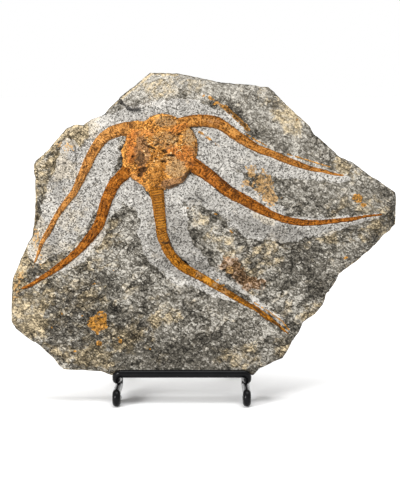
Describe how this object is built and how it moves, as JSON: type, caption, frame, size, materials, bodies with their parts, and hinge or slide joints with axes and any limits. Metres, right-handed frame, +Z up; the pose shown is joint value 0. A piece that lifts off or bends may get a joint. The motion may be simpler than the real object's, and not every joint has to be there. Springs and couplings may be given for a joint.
{
  "type": "brittle star fossil on a stand",
  "caption": "Brittle star fossil in relief on a broken siltstone slab, leaning on a black bent-wire display stand.",
  "frame": {"origin": "on the floor, under the middle of the whole object's box", "axes": "+Z up, +X to the right of the slab as seen from the front, the star faces -Y"},
  "size_m": [0.269, 0.1178, 0.2266],
  "materials": {
    "rock": "matte",
    "fossil": "matte",
    "black_metal": "gloss"
  },
  "bodies": {
    "root": {"rock_slab": "rock", "star_disc": "fossil", "arm_upper_left": "fossil", "arm_lower_left": "fossil", "arm_bottom": "fossil", "arm_lower_right": "fossil", "arm_upper_right": "fossil", "stand_lip": "black_metal", "stand_left_side_rod": "black_metal", "stand_right_side_rod": "black_metal", "stand_left_rear_leg": "black_metal", "stand_right_rear_leg": "black_metal", "stand_back_crossbar": "black_metal"}
  },
  "joints": []
}
